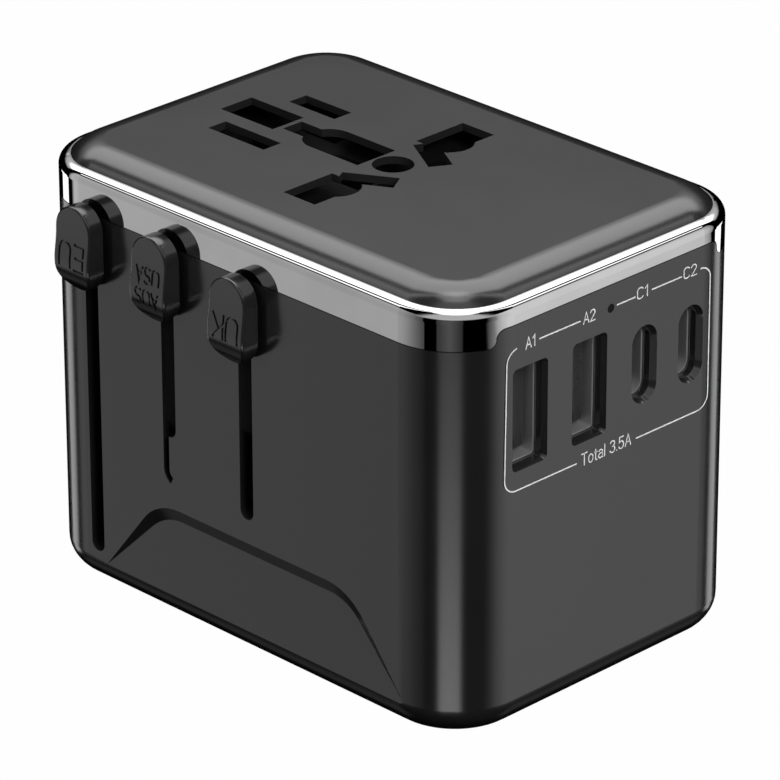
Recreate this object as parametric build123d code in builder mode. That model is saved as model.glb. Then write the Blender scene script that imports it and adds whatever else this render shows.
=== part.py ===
"""Universal travel adapter: a pocket block with a multi-standard socket on top, three slide-out
plugs (EU, US/AU and UK) that leave through the base, and four USB ports on one end.

Frame: millimetres, +Z up through the socket face, +X out of the USB end, the plug sliders on
the -Y face. The origin is the middle of the base face."""

import os

from build123d import *

# ---------------------------------------------------------------- driving dimensions
BODY_LENGTH = 73.0
BODY_DEPTH = 50.7
BODY_HEIGHT = 56.6
CORNER_RADIUS = 9.4
BASE_FILLET = 3.85
WALL = 2.4
END_X = BODY_LENGTH / 2
FRONT_Y = -BODY_DEPTH / 2
INNER_Y = BODY_DEPTH / 2 - WALL

# chrome trim ring and socket cover
RING_BOTTOM = 50.1
RING_BOTTOM_PORTS = 52.25
RING_TOP = 54.8
RING_WALL = 1.5
RING_FILLET = 1.35
SEAM = 0.12
FIT_GAP = 0.05
PORT_TAB_HALF = 17.5
PORT_TAB_RUN = 1.9
COVER_SEAT = 52.0
COVER_UNDERSIDE = 55.6
COVER_ARC = 5.2
COVER_ARC_INSET = 0.28
COVER_SKIRT = 2.6

# base plate
PLATE_INSET = 5.0
PLATE_THICK = 2.2
LEDGE_TOP = 4.3
LEDGE_WIDTH = 1.8
SCREW_X = 28.8
SCREW_Y = 17.6
POST_TOP = 10.0
POST_RADIUS = 2.1
SCREW_RADIUS = 0.9

# the three sliders: x of the slot, z of the button's middle, travel
SLOT_WIDTH = 2.25
NECK_WIDTH = 2.05
NECK_HEIGHT = 6.2
SLOT_PLAY = 0.15
EU_X, EU_BUTTON_Z, EU_TRAVEL = -25.2, 46.1, 38.0
US_X, US_BUTTON_Z, US_TRAVEL = -11.8, 46.35, 18.2
UK_X, UK_BUTTON_Z, UK_TRAVEL = 1.6, 45.3, 23.5
CAP_WIDTH = 6.15
CAP_HEIGHT = 11.0
CAP_STANDOFF = 0.72
PRESS_TRAVEL = 0.4
ENGRAVE_DEPTH = 0.2
ENGRAVE_WIDTH = 0.34

# the button's inner end and the carriage arm behind the front wall, as y positions
CAP_STANDOFF_Y = FRONT_Y - CAP_STANDOFF
ARM_FRONT = FRONT_Y + WALL + 0.45
ARM_BACK = -20.6
NECK_END = ARM_BACK - 0.15 - PRESS_TRAVEL
HEAD_FRONT = ARM_BACK + 0.35
HEAD_BACK = HEAD_FRONT + 0.6
SPRING_MID_Y = HEAD_BACK + 0.15
SPRING_TIP_Y = HEAD_BACK + 1.0
STOP_FRONT = SPRING_TIP_Y + 0.6
STOP_BACK = STOP_FRONT + 0.8
TAIL_RISE = 0.8
TAIL_HEIGHT = 2.6
TAIL_WIDTH = 2.05
HEAD_WIDTH = 3.2

# plug pins, to the national standards
EU_PIN_RADIUS = 2.0
EU_SLEEVE_RADIUS = 1.9
EU_PIN_PITCH = 19.0
EU_PIN_LENGTH = 19.0
EU_SLEEVE_LENGTH = 10.0
EU_PIN_X = -24.0
EU_TOWER = (11.4, 31.0)
BLADE_WIDTH = 6.35
BLADE_THICK = 1.5
BLADE_PITCH = 12.7
UK_PITCH = 22.2
UK_EARTH_REACH = 22.2
UK_PIN = (4.0, 6.35)
UK_EARTH_PIN = (8.0, 4.0)
UK_PIN_LENGTH = 17.7
UK_EARTH_LENGTH = 22.7
PIN_TIP_Z = 0.8

# socket pattern in the cover
EARTH_HOLE_X = -21.8
US_SLOT_X = -18.2
US_EARTH_X = -10.2
US_EARTH_RADIUS = 3.2
CENTRE_HOLE_X = 0.84
CENTRE_HOLE_RADIUS = 2.55
MIX_HOLE_X = 0.3
MIX_HOLE_Y = 11.05
MIX_ROUND = (0.8, 9.5, 3.1)
AU_SLOT = (2.07, 5.45)
AU_SLOT_SIZE = (7.1, 3.0)

# socket core and contacts
CORE_BOTTOM = 38.9
CORE_TOP = 50.2
PLATE_LOW, PLATE_HIGH = 51.9, 53.3
CORE_HALF_NARROW = 10.0
CORE_HALF_WIDE = 16.8
WEB_BOTTOM = 38.2
WEB_THICK = 0.4
SHUTTER_BOTTOM = 50.5
SHUTTER_TOP = 51.6

# guide frame
FRAME_BOTTOM = 4.35
FRAME_TOP = 37.9
PARTITION_1 = (-17.6, -16.3)
PARTITION_2 = (-5.3, -3.3)
RAIL_THICK = 0.35
RAIL_WIDTH = 3.0
RAIL_Y = 9.4
EU_RAIL_Y = 12.4
WIPER_GAP = 0.1

# USB ports on the end face: y of the middle, z of the middle
USB_A_PLACES = ((-13.3, 40.0), (-3.4, 40.0))
USB_C_PLACES = ((5.92, 40.15), (13.9, 40.15))
USB_A_MOUTH = (5.8, 13.0)
USB_A_SHELL = (5.1, 12.5)
USB_A_DEPTH = 13.4
USB_A_TAPER = 22
USB_C_MOUTH = (4.3, 10.0)
USB_C_SHELL = (3.2, 8.94)
USB_C_DEPTH = 7.4
USB_C_TAPER = 31
SHELL_PLAY = 0.05
LEAD_IN = 0.75
SHELL_RECESS = 1.85
LAMP_PLACE = (0.03, 49.19)
LAMP_RADIUS = 0.55
USB_BOARD_X = 19.6
BOARD_THICK = 1.6

os.makedirs("parts", exist_ok=True)


def save(builder, name):
    """Label one finished piece and write its STEP file."""
    builder.part.label = name
    export_step(builder.part, f"parts/{name}.step")


def body_outline(inset, mode=Mode.ADD):
    """The plan outline of the body, drawn into the open sketch, `inset` inside the walls."""
    length, depth = BODY_LENGTH - 2 * inset, BODY_DEPTH - 2 * inset
    RectangleRounded(length, depth, CORNER_RADIUS - inset, mode=mode)


def front_plane(out):
    """A plane parallel to the slider face, `out` in front of it, seen from outside."""
    return Plane.XZ.offset(-FRONT_Y + out)


def end_plane(out):
    """A plane parallel to the USB face, `out` in front of it, seen from outside."""
    return Plane.YZ.offset(END_X + out)


def port_tab_sketch(top, half):
    """The raised tab of the black housing between the ports and the ring, with S-curve ends."""
    low = RING_BOTTOM - 6
    mid = (top + RING_BOTTOM) / 2
    with BuildLine() as tab:
        Polyline((-half - PORT_TAB_RUN, RING_BOTTOM), (-half - PORT_TAB_RUN, low),
                 (half + PORT_TAB_RUN, low), (half + PORT_TAB_RUN, RING_BOTTOM))
        for side in (1, -1):
            lower = (side * (half + PORT_TAB_RUN), RING_BOTTOM)
            centre = (side * (half + PORT_TAB_RUN / 2), mid)
            upper = (side * (half - 0.3), top)
            TangentArc(lower, centre, tangent=(-side, 0))
            TangentArc(upper, centre, tangent=(side, 0))
        Line((half - 0.3, top), (-half + 0.3, top))
    make_face(tab.edges())


# ---------------------------------------------------------------- housing
def slot_sketch(x, button_z, travel):
    """One slider slot in the front wall: a tall stadium that the button's neck runs in."""
    top = button_z + NECK_HEIGHT / 2 + SLOT_PLAY
    bottom = button_z - NECK_HEIGHT / 2 - travel - SLOT_PLAY
    with Locations((x, (top + bottom) / 2)):
        SlotOverall(top - bottom, SLOT_WIDTH, rotation=90)


def grip_cut(plane, centre_x):
    """A shallow finger scoop low on a long face, deepest under its arched upper wall."""
    scoop_top, scoop_depth, half_top, half_low = 15.4, 0.7, 16.6, 26.4
    wall_slope, floor_lean, fade_out = 70, 3.6, 3.4
    with BuildPart() as scoop:
        with BuildSketch(plane):
            with BuildLine():
                FilletPolyline(
                    (centre_x - half_low, 3.0),
                    (centre_x - half_top, scoop_top),
                    (centre_x + half_top, scoop_top),
                    (centre_x + half_low, 3.0),
                    radius=8.0,
                )
                Line((centre_x + half_low, 3.0), (centre_x - half_low, 3.0))
            make_face()
        extrude(amount=-scoop_depth, taper=wall_slope)
        floor = Plane(
            origin=plane.from_local_coords((centre_x, fade_out, 0)),
            x_dir=plane.x_dir,
            z_dir=plane.z_dir.rotate(Axis((0, 0, 0), plane.x_dir), -floor_lean),
        )
        split(bisect_by=floor, keep=Keep.TOP)
    return scoop.part


BACK_PLANE = Plane(origin=(0, BODY_DEPTH / 2, 0), x_dir=(-1, 0, 0), z_dir=(0, 1, 0))
front_grip = grip_cut(front_plane(0), 2.3)
back_grip = grip_cut(BACK_PLANE, 0)

with BuildPart() as port_tab:
    with BuildSketch(Plane.YZ.offset(END_X - 12)):
        port_tab_sketch(RING_BOTTOM_PORTS - SEAM, PORT_TAB_HALF)
    extrude(amount=20)

with BuildPart() as ring_tab:
    with BuildSketch(Plane.YZ.offset(END_X - 12)):
        port_tab_sketch(RING_BOTTOM_PORTS, PORT_TAB_HALF + SEAM)
    extrude(amount=20)

with BuildPart() as rim_band:
    with BuildSketch(Plane.XY.offset(RING_BOTTOM - SEAM)):
        body_outline(-1)
        body_outline(RING_WALL + FIT_GAP, Mode.SUBTRACT)
    extrude(amount=10)
    add(port_tab.part, mode=Mode.SUBTRACT)

with BuildPart() as housing:
    with BuildSketch():
        body_outline(0)
    extrude(amount=RING_BOTTOM_PORTS - SEAM)
    fillet(housing.faces().sort_by(Axis.Z)[0].edges(), BASE_FILLET)
    with BuildSketch(Plane.XY.offset(LEDGE_TOP)):
        body_outline(WALL)
    extrude(amount=BODY_HEIGHT, mode=Mode.SUBTRACT)
    with BuildSketch(Plane.XY.offset(PLATE_THICK)):
        body_outline(PLATE_INSET + LEDGE_WIDTH)
    extrude(amount=LEDGE_TOP, mode=Mode.SUBTRACT)
    with BuildSketch():
        body_outline(PLATE_INSET)
    extrude(amount=PLATE_THICK, mode=Mode.SUBTRACT)
    # rim: the outer band makes way for the trim ring, the inner upstand carries the cover
    with BuildSketch(Plane.XY.offset(COVER_SEAT)):
        body_outline(RING_WALL)
    extrude(amount=2, mode=Mode.SUBTRACT)
    add(rim_band.part, mode=Mode.SUBTRACT)
    # posts for the base screws, with pilot holes
    with BuildSketch(Plane.XY.offset(PLATE_THICK)):
        with GridLocations(2 * SCREW_X, 2 * SCREW_Y, 2, 2):
            Circle(POST_RADIUS)
    extrude(amount=POST_TOP - PLATE_THICK)
    with BuildSketch(Plane.XY.offset(PLATE_THICK)):
        with GridLocations(2 * SCREW_X, 2 * SCREW_Y, 2, 2):
            Circle(SCREW_RADIUS + FIT_GAP)
    extrude(amount=POST_TOP - PLATE_THICK - 1.5, mode=Mode.SUBTRACT)
    # ribs that hold the upright USB board
    with BuildSketch(Plane.XY.offset(24)):
        for rib_x in (USB_BOARD_X - 0.8, USB_BOARD_X + BOARD_THICK + 0.8):
            for side in (1, -1):
                with Locations((rib_x, side * (INNER_Y - 1.0))):
                    Rectangle(1.2, 2.6)
    extrude(amount=26)
    # slider slots
    with BuildSketch(front_plane(1)):
        for slot in ((EU_X, EU_BUTTON_Z, EU_TRAVEL), (US_X, US_BUTTON_Z, US_TRAVEL),
                     (UK_X, UK_BUTTON_Z, UK_TRAVEL)):
            slot_sketch(*slot)
    extrude(amount=-WALL - 1.5, mode=Mode.SUBTRACT)
    # hooked relief slit that frees a springy tongue below the US/AU slot
    slit_x, slit_end = US_X - 0.62, 20.6
    with BuildSketch(front_plane(1)):
        with BuildLine() as slit_line:
            Line((slit_x, 26.5), (slit_x, slit_end))
            JernArc((slit_x, slit_end), (0, -1), 1.7, 62)
        trace(slit_line.line, line_width=1.0)
    extrude(amount=-WALL - 1.5, mode=Mode.SUBTRACT)
    # port mouths with a sloped lead-in, and the lamp hole
    with BuildSketch(end_plane(0)):
        with Locations(*USB_A_PLACES):
            RectangleRounded(*USB_A_MOUTH, 0.7)
    extrude(amount=-LEAD_IN, taper=USB_A_TAPER, mode=Mode.SUBTRACT)
    with BuildSketch(end_plane(0)):
        with Locations(*USB_C_PLACES):
            SlotOverall(USB_C_MOUTH[1], USB_C_MOUTH[0], rotation=90)
    extrude(amount=-LEAD_IN, taper=USB_C_TAPER, mode=Mode.SUBTRACT)
    with BuildSketch(end_plane(1)):
        with Locations(*USB_A_PLACES):
            RectangleRounded(USB_A_SHELL[0] + 2 * SHELL_PLAY, USB_A_SHELL[1] + 2 * SHELL_PLAY, 0.5)
        with Locations(*USB_C_PLACES):
            SlotOverall(USB_C_SHELL[1] + 2 * SHELL_PLAY, USB_C_SHELL[0] + 2 * SHELL_PLAY, rotation=90)
        with Locations(LAMP_PLACE):
            Circle(LAMP_RADIUS)
    extrude(amount=-WALL - 1.5, mode=Mode.SUBTRACT)
    add(front_grip, mode=Mode.SUBTRACT)
    add(back_grip, mode=Mode.SUBTRACT)
save(housing, "housing")

# ---------------------------------------------------------------- chrome trim ring
with BuildPart() as trim_ring:
    with BuildSketch(Plane.XY.offset(RING_BOTTOM)):
        body_outline(0)
    extrude(amount=RING_TOP - RING_BOTTOM)
    fillet(trim_ring.faces().sort_by(Axis.Z)[-1].edges(), RING_FILLET)
    with BuildSketch(Plane.XY.offset(RING_BOTTOM)):
        body_outline(RING_WALL)
    extrude(amount=RING_TOP, mode=Mode.SUBTRACT)
    add(ring_tab.part, mode=Mode.SUBTRACT)
save(trim_ring, "trim_ring")


# ---------------------------------------------------------------- socket cover
def socket_holes(grow):
    """The socket pattern as faces in the open sketch; `grow` widens every hole all round."""
    with Locations((EARTH_HOLE_X, 0)):
        Rectangle(9.2 + 2 * grow, 5.2 + 2 * grow)
    with Locations((US_SLOT_X, -BLADE_PITCH / 2)):
        Rectangle(9.7 + 2 * grow, 2.9 + 2 * grow)
    with Locations((US_SLOT_X, BLADE_PITCH / 2)):
        Rectangle(7.9 + 2 * grow, 2.9 + 2 * grow)
    with Locations((US_EARTH_X, 0)):
        Circle(US_EARTH_RADIUS + grow)
    with Locations((-6.1, 0)):
        Rectangle(8.2 + 2 * grow, 2 * US_EARTH_RADIUS + 2 * grow)
    with Locations((-14.6, 0)):
        Rectangle(3.8 + 2 * grow, 3.15 + 2 * grow)
    for side in (1, -1):
        with Locations((MIX_HOLE_X, side * MIX_HOLE_Y)):
            Rectangle(5.3 + 2 * grow, 8.0 + 2 * grow)
        with Locations((MIX_ROUND[0], side * MIX_ROUND[1])):
            Circle(MIX_ROUND[2] + grow)
        with Locations((AU_SLOT[0], side * AU_SLOT[1])):
            Rectangle(AU_SLOT_SIZE[0] + 2 * grow, AU_SLOT_SIZE[1] + 2 * grow, rotation=-side * 30)


with BuildPart() as cover_dome:
    with BuildSketch():
        body_outline(COVER_ARC_INSET)
    extrude(amount=BODY_HEIGHT)
    fillet(cover_dome.faces().sort_by(Axis.Z)[-1].edges(), COVER_ARC)

with BuildPart() as socket_cover:
    with BuildSketch(Plane.XY.offset(COVER_SEAT)):
        body_outline(RING_WALL + FIT_GAP)
    extrude(amount=BODY_HEIGHT)
    add(cover_dome.part, mode=Mode.INTERSECT)
    with BuildSketch(Plane.XY.offset(COVER_SEAT)):
        body_outline(RING_WALL + FIT_GAP + COVER_SKIRT)
    extrude(amount=COVER_UNDERSIDE - COVER_SEAT, mode=Mode.SUBTRACT)
    with BuildSketch(Plane.XY.offset(COVER_UNDERSIDE - 1)):
        socket_holes(0)
        with Locations((CENTRE_HOLE_X, 0)):
            Circle(CENTRE_HOLE_RADIUS)
    extrude(amount=5, mode=Mode.SUBTRACT)
save(socket_cover, "socket_cover")

# the second layer, under the cover, with the same pattern a little smaller
with BuildPart() as socket_plate:
    with BuildSketch(Plane.XY.offset(PLATE_LOW)):
        body_outline(RING_WALL + FIT_GAP + COVER_SKIRT + 0.2)
    extrude(amount=PLATE_HIGH - PLATE_LOW)
    with BuildSketch(Plane.XY.offset(PLATE_LOW - 1)):
        socket_holes(-0.1)
        with Locations((CENTRE_HOLE_X, 0)):
            Circle(CENTRE_HOLE_RADIUS - 0.1)
    extrude(amount=5, mode=Mode.SUBTRACT)
save(socket_plate, "socket_plate")

# ---------------------------------------------------------------- socket core
with BuildPart() as socket_core:
    with BuildSketch(Plane.XY.offset(CORE_BOTTOM)):
        with Locations((-1.2, 0)):
            Rectangle(22.0, 2 * CORE_HALF_WIDE)
    extrude(amount=CORE_TOP - CORE_BOTTOM)
    with BuildSketch(Plane.XY.offset(CORE_BOTTOM)):
        with Locations((-20.0, 0)):
            Rectangle(16.0, 2 * CORE_HALF_NARROW)
    extrude(amount=PLATE_LOW - CORE_BOTTOM)
    fillet(socket_core.edges().filter_by(Axis.Z).group_by(Axis.X)[0], 2)
    fillet(socket_core.edges().filter_by(Axis.Z).group_by(Axis.X)[-1], 2)
    with BuildSketch(Plane.XY.offset(CORE_BOTTOM)):
        with Locations((EARTH_HOLE_X, 0)):
            Rectangle(10.4, 6.6)
        for side in (1, -1):
            with Locations((US_SLOT_X, side * BLADE_PITCH / 2)):
                Rectangle(11.0, 4.6)
            with Locations((1.4, side * 10.2)):
                Rectangle(10.2, 11.6)
        with Locations((-8.6, 0)):
            Rectangle(12.4, 7.4)
    extrude(amount=20, mode=Mode.SUBTRACT)
    with BuildSketch(Plane.XY.offset(CORE_BOTTOM + 3)):
        with Locations((CENTRE_HOLE_X, 0)):
            Circle(CENTRE_HOLE_RADIUS)
    extrude(amount=20, mode=Mode.SUBTRACT)
save(socket_core, "socket_core")


# ---------------------------------------------------------------- socket contacts
def live_contact(side):
    """One pole of the socket: a brass web with sprung leaves up into the wells."""
    leaf = 0.35
    leaf_height = 11.0
    web_start = PARTITION_1[0] - RAIL_THICK
    with BuildPart() as contact:
        with BuildSketch(Plane.XY.offset(WEB_BOTTOM)):
            with Locations((web_start / 2 + 3.0, side * 10.2)):
                Rectangle(6.0 - web_start, 5.2)
            with Locations((-17.6, side * 6.35)):
                Rectangle(9.2, 4.5)
        extrude(amount=WEB_THICK)
        with BuildSketch(Plane.XY.offset(WEB_BOTTOM)):
            for leaf_x in (-3.2, 5.8):
                with Locations((leaf_x, side * 10.2)):
                    Rectangle(leaf, 5.2)
            for leaf_y in (4.45, 8.25):
                with Locations((-18.2, side * leaf_y)):
                    Rectangle(8.0, leaf)
        extrude(amount=leaf_height + WEB_THICK)
    return contact


for pole, side in (("line_contact", 1), ("neutral_contact", -1)):
    save(live_contact(side), pole)

with BuildPart() as earth_contact:
    with BuildSketch(Plane.XY.offset(WEB_BOTTOM)):
        with Locations((-13.6, 0)):
            Rectangle(24.0, 5.6)
    extrude(amount=WEB_THICK)
    with BuildSketch(Plane.XY.offset(WEB_BOTTOM)):
        for side in (1, -1):
            with Locations((EARTH_HOLE_X, side * 2.95)):
                Rectangle(8.0, 0.4)
            with Locations((-6.5, side * 3.45)):
                Rectangle(7.0, 0.4)
    extrude(amount=11)
    with BuildSketch(Plane.XY.offset(WEB_BOTTOM)):
        with Locations((EARTH_HOLE_X, 0)):
            Rectangle(8.0, 6.3)
        with Locations((-6.5, 0)):
            Rectangle(7.0, 7.3)
    extrude(amount=WEB_THICK)
save(earth_contact, "earth_contact")

# ---------------------------------------------------------------- safety shutter
SHUTTER_X = (-3.2, 6.6)
SHUTTER_Y = (3.5, 15.9)
with BuildPart() as safety_shutter:
    with BuildSketch(Plane.XY.offset(SHUTTER_BOTTOM)):
        for side in (1, -1):
            with Locations(((SHUTTER_X[0] + SHUTTER_X[1]) / 2, side * sum(SHUTTER_Y) / 2)):
                Rectangle(SHUTTER_X[1] - SHUTTER_X[0], SHUTTER_Y[1] - SHUTTER_Y[0])
        with Locations((5.35, 0)):
            Rectangle(2.5, 2 * SHUTTER_Y[0] + 1)
    extrude(amount=SHUTTER_TOP - SHUTTER_BOTTOM)
    # the pins push on this slope to open the shutter
    ramp_edges = safety_shutter.edges().filter_by(Axis.Y).group_by(Axis.Z)[-1]
    chamfer(ramp_edges.group_by(Axis.X)[0], 0.9)
save(safety_shutter, "safety_shutter")


# a coil spring stretched between a peg on the core and the shutter's edge
SPRING_START = (-11.9, 8.0, 51.05)
SPRING_LENGTH = 8.2
SPRING_TURNS = 10
with BuildPart() as shutter_spring:
    with BuildLine():
        coil = Helix(SPRING_LENGTH / SPRING_TURNS, SPRING_LENGTH, 0.4, center=SPRING_START,
                     direction=(1, 0, 0))
    with BuildSketch(Plane(origin=coil @ 0, z_dir=coil % 0)):
        Circle(0.1)
    sweep(path=coil, is_frenet=True)
save(shutter_spring, "shutter_spring")

# ---------------------------------------------------------------- base plate and screws
HOLE_PLAY = 0.35
with BuildPart() as base_plate:
    with BuildSketch():
        body_outline(PLATE_INSET + 0.1)
    extrude(amount=PLATE_THICK - FIT_GAP)
    with BuildSketch():
        with Locations((EU_PIN_X, 0)):
            SlotOverall(EU_TOWER[1] + 2 * HOLE_PLAY, EU_TOWER[0] + 2 * HOLE_PLAY, rotation=90)
        with Locations((US_X, BLADE_PITCH / 2), (US_X, -BLADE_PITCH / 2)):
            Circle(3.75)
        with Locations((UK_X, UK_PITCH / 2), (UK_X, -UK_PITCH / 2)):
            Rectangle(UK_PIN[0] + 2 * HOLE_PLAY, UK_PIN[1] + 2 * HOLE_PLAY)
        with Locations((UK_X + UK_EARTH_REACH, 0)):
            Rectangle(UK_EARTH_PIN[0] + 2 * HOLE_PLAY, UK_EARTH_PIN[1] + 2 * HOLE_PLAY)
    extrude(amount=PLATE_THICK, mode=Mode.SUBTRACT)
    with BuildSketch():
        with GridLocations(2 * SCREW_X, 2 * SCREW_Y, 2, 2):
            Circle(SCREW_RADIUS + 0.15)
    extrude(amount=PLATE_THICK, mode=Mode.SUBTRACT)
    with BuildSketch():
        with GridLocations(2 * SCREW_X, 2 * SCREW_Y, 2, 2):
            Circle(1.8)
    extrude(amount=1.3, mode=Mode.SUBTRACT)
save(base_plate, "base_plate")

with BuildPart() as base_screws:
    with BuildSketch(Plane.XY.offset(0.2)):
        with GridLocations(2 * SCREW_X, 2 * SCREW_Y, 2, 2):
            Circle(1.65)
    extrude(amount=1.1)
    with BuildSketch(Plane.XY.offset(0.2)):
        with GridLocations(2 * SCREW_X, 2 * SCREW_Y, 2, 2):
            Circle(SCREW_RADIUS)
    extrude(amount=7.4)
    with BuildSketch(Plane.XY.offset(0.2)):
        with GridLocations(2 * SCREW_X, 2 * SCREW_Y, 2, 2):
            Rectangle(1.9, 0.42)
            Rectangle(0.42, 1.9)
    extrude(amount=0.6, mode=Mode.SUBTRACT)
save(base_screws, "base_screws")

# ---------------------------------------------------------------- guide frame
with BuildPart() as guide_frame:
    with BuildSketch(Plane.XY.offset(FRAME_BOTTOM)):
        for low, high in (PARTITION_1, PARTITION_2):
            with Locations(((low + high) / 2, 0.6)):
                Rectangle(high - low, 37.2)
        with Locations((-10.15, 19.2)):
            Rectangle(32.3, 1.5)
    extrude(amount=FRAME_TOP - FRAME_BOTTOM)
    with BuildSketch(Plane.YZ.offset(-20)):
        with Locations((0, 15), (0, 28)):
            RectangleRounded(14, 8, 2)
    extrude(amount=20, mode=Mode.SUBTRACT)
save(guide_frame, "guide_frame")


def contact_rails(side):
    """Brass strips on the partitions, one for each sliding plug."""
    rail_places = (
        (PARTITION_1[0] - RAIL_THICK / 2, side * EU_RAIL_Y),
        (PARTITION_1[1] + RAIL_THICK / 2, side * RAIL_Y),
        (PARTITION_2[1] + RAIL_THICK / 2, side * RAIL_Y),
    )
    with BuildPart() as rails:
        with BuildSketch(Plane.XY.offset(FRAME_BOTTOM)):
            with Locations(*rail_places):
                Rectangle(RAIL_THICK, RAIL_WIDTH)
        extrude(amount=WEB_BOTTOM - FRAME_BOTTOM)
    return rails


for pole, side in (("line_rails", 1), ("neutral_rails", -1)):
    save(contact_rails(side), pole)

# ---------------------------------------------------------------- slider buttons
# A letter is a list of strokes in a cell one unit high; a stroke is a run of points, and a
# stroke of three points marked "arc" bends through the middle one.
LETTERS = {
    "E": (0.54, [[(0.54, 0), (0, 0), (0, 1), (0.54, 1)], [(0, 0.5), (0.46, 0.5)]]),
    "U": (0.6, [[(0, 1), (0, 0.3)], [(0.6, 1), (0.6, 0.3)],
                ["arc", (0, 0.3), (0.3, 0), (0.6, 0.3)]]),
    "K": (0.58, [[(0, 0), (0, 1)], [(0.56, 1), (0.03, 0.42)], [(0.2, 0.6), (0.58, 0)]]),
    "A": (0.6, [[(0, 0), (0.3, 1), (0.6, 0)], [(0.12, 0.36), (0.48, 0.36)]]),
    "S": (0.56, [["arc", (0.53, 0.86), (0.06, 0.83), (0.28, 0.52)],
                 ["arc", (0.28, 0.52), (0.52, 0.2), (0.02, 0.13)]]),
}
LETTER_GAP = 0.16
ROW_PITCH = 2.8
LABEL_DROP = 0.75


def word_width(word):
    """Width of a word in cell units."""
    return sum(LETTERS[letter][0] for letter in word) + LETTER_GAP * (len(word) - 1)


def letter_strokes(word, height, x, z):
    """The word as thin stroke faces in the open sketch, turned half round, centred at x, z."""
    pen = -word_width(word) / 2
    for letter in word:
        width, strokes = LETTERS[letter]
        for stroke in strokes:
            arc = stroke[0] == "arc"
            points = [
                (x - (pen + px) * height, z - (py - 0.5) * height)
                for px, py in (stroke[1:] if arc else stroke)
            ]
            with BuildLine() as line:
                if arc:
                    ThreePointArc(*points)
                else:
                    Polyline(*points)
            trace(line.line, line_width=ENGRAVE_WIDTH)
        pen += width + LETTER_GAP


# how far the cap's face stands out, at heights from the button's middle: flat above, a
# swelling under the thumb, then a fall-off
CAP_RISES = ((-6.2, 1.2), (-5.2, 2.05), (-4.2, 2.75), (-2.8, 3.2), (-1.2, 3.24), (0.6, 3.0),
             (2.6, 2.86), (6.2, 2.84))


def profile_bar(x, button_z, shift):
    """The cap's side profile drawn out across its width, `shift` behind the cap's face."""
    face = [(FRONT_Y - rise + shift, button_z + height) for height, rise in CAP_RISES]
    rear = FRONT_Y - CAP_STANDOFF + shift
    with BuildPart() as bar:
        with BuildSketch(Plane.YZ.offset(x - CAP_WIDTH)):
            with BuildLine():
                Spline(*face)
                Polyline(face[-1], (rear, face[-1][1]), (rear, face[0][1]), face[0])
            make_face()
        extrude(amount=2 * CAP_WIDTH)
    return bar.part


def slider_button(x, button_z, words, letter_height):
    """A thumb button: the cap outside, a neck through the slot and a keeper head inside."""
    with BuildPart() as engraving:
        with BuildSketch(front_plane(0)):
            for row, word in enumerate(words):
                drop = (row - (len(words) - 1) / 2) * ROW_PITCH
                letter_strokes(word, letter_height, x, button_z - LABEL_DROP - drop)
        extrude(amount=4)
        add(profile_bar(x, button_z, ENGRAVE_DEPTH), mode=Mode.SUBTRACT)
    with BuildPart() as button:
        with BuildSketch(front_plane(CAP_STANDOFF)):
            with Locations((x, button_z)):
                SlotOverall(CAP_HEIGHT, CAP_WIDTH, rotation=90)
        extrude(amount=4)
        add(profile_bar(x, button_z, 0), mode=Mode.INTERSECT)
        front_edges = button.edges().filter_by(
            lambda edge: edge.center().Y < FRONT_Y - CAP_STANDOFF - 0.3
        ).filter_by(GeomType.LINE, reverse=True)
        fillet(front_edges, 0.3)
        add(engraving.part, mode=Mode.SUBTRACT)
        with BuildSketch(front_plane(CAP_STANDOFF)):
            with Locations((x, button_z)):
                SlotOverall(NECK_HEIGHT, NECK_WIDTH, rotation=90)
        extrude(amount=CAP_STANDOFF_Y - NECK_END)
        with BuildSketch(Plane.XZ.offset(-NECK_END)):
            with Locations((x, button_z + TAIL_RISE)):
                Rectangle(TAIL_WIDTH, TAIL_HEIGHT)
        extrude(amount=NECK_END - HEAD_FRONT)
        with BuildSketch(Plane.XZ.offset(-HEAD_FRONT)):
            with Locations((x, button_z + TAIL_RISE)):
                Rectangle(HEAD_WIDTH, TAIL_HEIGHT)
        extrude(amount=HEAD_FRONT - HEAD_BACK)
    return button


def button_spring(x, button_z):
    """A flat bow spring behind the keeper head that pushes the button back out."""
    middle = button_z + TAIL_RISE
    with BuildPart() as spring:
        with BuildSketch(Plane.YZ.offset(x - 1.0)):
            with BuildLine() as bow:
                ThreePointArc((SPRING_TIP_Y, middle - 1.2), (SPRING_MID_Y, middle),
                              (SPRING_TIP_Y, middle + 1.2))
            trace(bow.line, line_width=0.2)
        extrude(amount=2.0)
    return spring


BUTTONS = {
    "eu_button": (EU_X, EU_BUTTON_Z, ("EU",), 3.2),
    "us_button": (US_X, US_BUTTON_Z, ("USA", "AUS"), 1.9),
    "uk_button": (UK_X, UK_BUTTON_Z, ("UK",), 3.2),
}
for button_name, (x, button_z, words, letter_height) in BUTTONS.items():
    save(slider_button(x, button_z, words, letter_height), button_name)
    save(button_spring(x, button_z), f"{button_name}_spring")

# ---------------------------------------------------------------- carriage pieces
ARM_WIDTH = 4.4


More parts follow.
